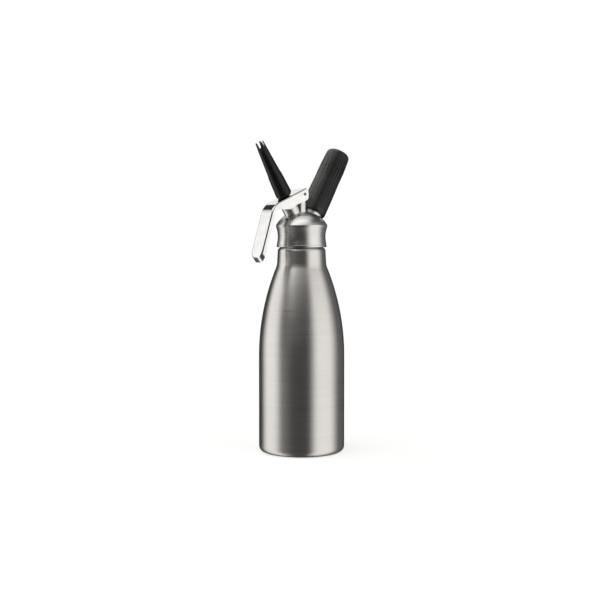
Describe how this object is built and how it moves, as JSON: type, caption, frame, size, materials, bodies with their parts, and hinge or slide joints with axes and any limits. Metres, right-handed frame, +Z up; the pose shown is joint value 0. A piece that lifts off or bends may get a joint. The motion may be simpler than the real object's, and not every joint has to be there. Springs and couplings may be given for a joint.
{
  "type": "whipped cream dispenser",
  "caption": "Handheld whipped cream dispenser: brushed steel bottle, screw-on metal head with press lever, tapered toothed nozzle and fluted gas charger holder.",
  "frame": {"origin": "centre of the bottle's base, on the surface it stands on", "axes": "+Z up along the bottle's axis; the lever and nozzle lean towards -X and the charger holder towards +X; XZ is the plane of symmetry"},
  "size_m": [0.1238, 0.096, 0.3464],
  "materials": {
    "bottle_steel": "circumferentially brushed, satin",
    "head_metal": "satin, fine blasted",
    "lever_polish": "mirror polished",
    "nozzle_black": "moulded, satin",
    "holder_black": "moulded, fluted, satin",
    "inner_steel": "turned",
    "brass": "turned",
    "seal_rubber": "moulded silicone rubber",
    "foil": "thin pressed cap",
    "charger_steel": "drawn, plain",
    "sleeve_aluminium": "turned"
  },
  "bodies": {
    "bottle": {"bottle_shell": "bottle_steel", "neck_thread_ring": "inner_steel"},
    "gasket": {"head_gasket": "seal_rubber"},
    "head": {"head_body": "head_metal", "charger_port_nipple": "inner_steel", "lever_pivot_pin": "lever_polish", "valve_guide_bush": "brass", "guide_o_ring": "seal_rubber", "valve_spring": "inner_steel", "piercing_pin": "inner_steel", "piercing_pin_holder": "brass", "charger_seal": "seal_rubber"},
    "lever": {"lever": "lever_polish"},
    "valve": {"valve_stem": "inner_steel", "valve_seal": "seal_rubber", "valve_seal_nut": "inner_steel", "spring_retainer": "inner_steel", "tip_adaptor": "nozzle_black"},
    "tip_seal": {"tip_o_ring": "seal_rubber"},
    "tip": {"decorator_tip": "nozzle_black"},
    "charger": {"gas_charger": "charger_steel", "charger_cap_foil": "foil"},
    "holder": {"charger_holder_shell": "holder_black", "holder_thread_sleeve": "sleeve_aluminium"}
  },
  "joints": [
    {"name": "head_rise", "type": "slide", "parent": "bottle", "child": "gasket", "axis": [0, 0, 1], "range_m": [0, 0.012]},
    {"name": "head_turn", "type": "hinge", "parent": "gasket", "child": "head", "pos_m": [0, 0, 0], "axis": [0, 0, 1], "range_deg": [0, 1100]},
    {"name": "lever_press", "type": "hinge", "parent": "head", "child": "lever", "pos_m": [-0.0032, 0, 0.2884], "axis": [0, -1, 0], "range_deg": [0, 7.5], "stiffness_Nm_per_rad": 0.7, "springref_deg": -11.46},
    {"name": "valve_push", "type": "slide", "parent": "head", "child": "valve", "axis": [0.5, 0, -0.866], "range_m": [0, 0.0022], "deforming": ["valve_spring"]},
    {"name": "nozzle_rise", "type": "slide", "parent": "valve", "child": "tip_seal", "axis": [-0.5, 0, 0.866], "range_m": [0, 0.0072]},
    {"name": "nozzle_turn", "type": "hinge", "parent": "tip_seal", "child": "tip", "pos_m": [0, 0, 0.24635], "axis": [-0.5, 0, 0.866], "range_deg": [0, 1100]},
    {"name": "charger_travel", "type": "slide", "parent": "head", "child": "charger", "axis": [0.4833, 0, 0.8755], "range_m": [0, 0.009]},
    {"name": "holder_turn", "type": "hinge", "parent": "charger", "child": "holder", "pos_m": [0, 0, 0.24167], "axis": [0.4833, 0, 0.8755], "range_deg": [0, 1100]}
  ],
  "couplings": [
    {"joint": "head_turn", "follows": "head_rise", "rad_per_m": 1570.8},
    {"joint": "valve_push", "follows": "lever_press", "m_per_rad": 0.0153},
    {"joint": "nozzle_turn", "follows": "nozzle_rise", "rad_per_m": 2618},
    {"joint": "holder_turn", "follows": "charger_travel", "rad_per_m": 2094.4}
  ]
}
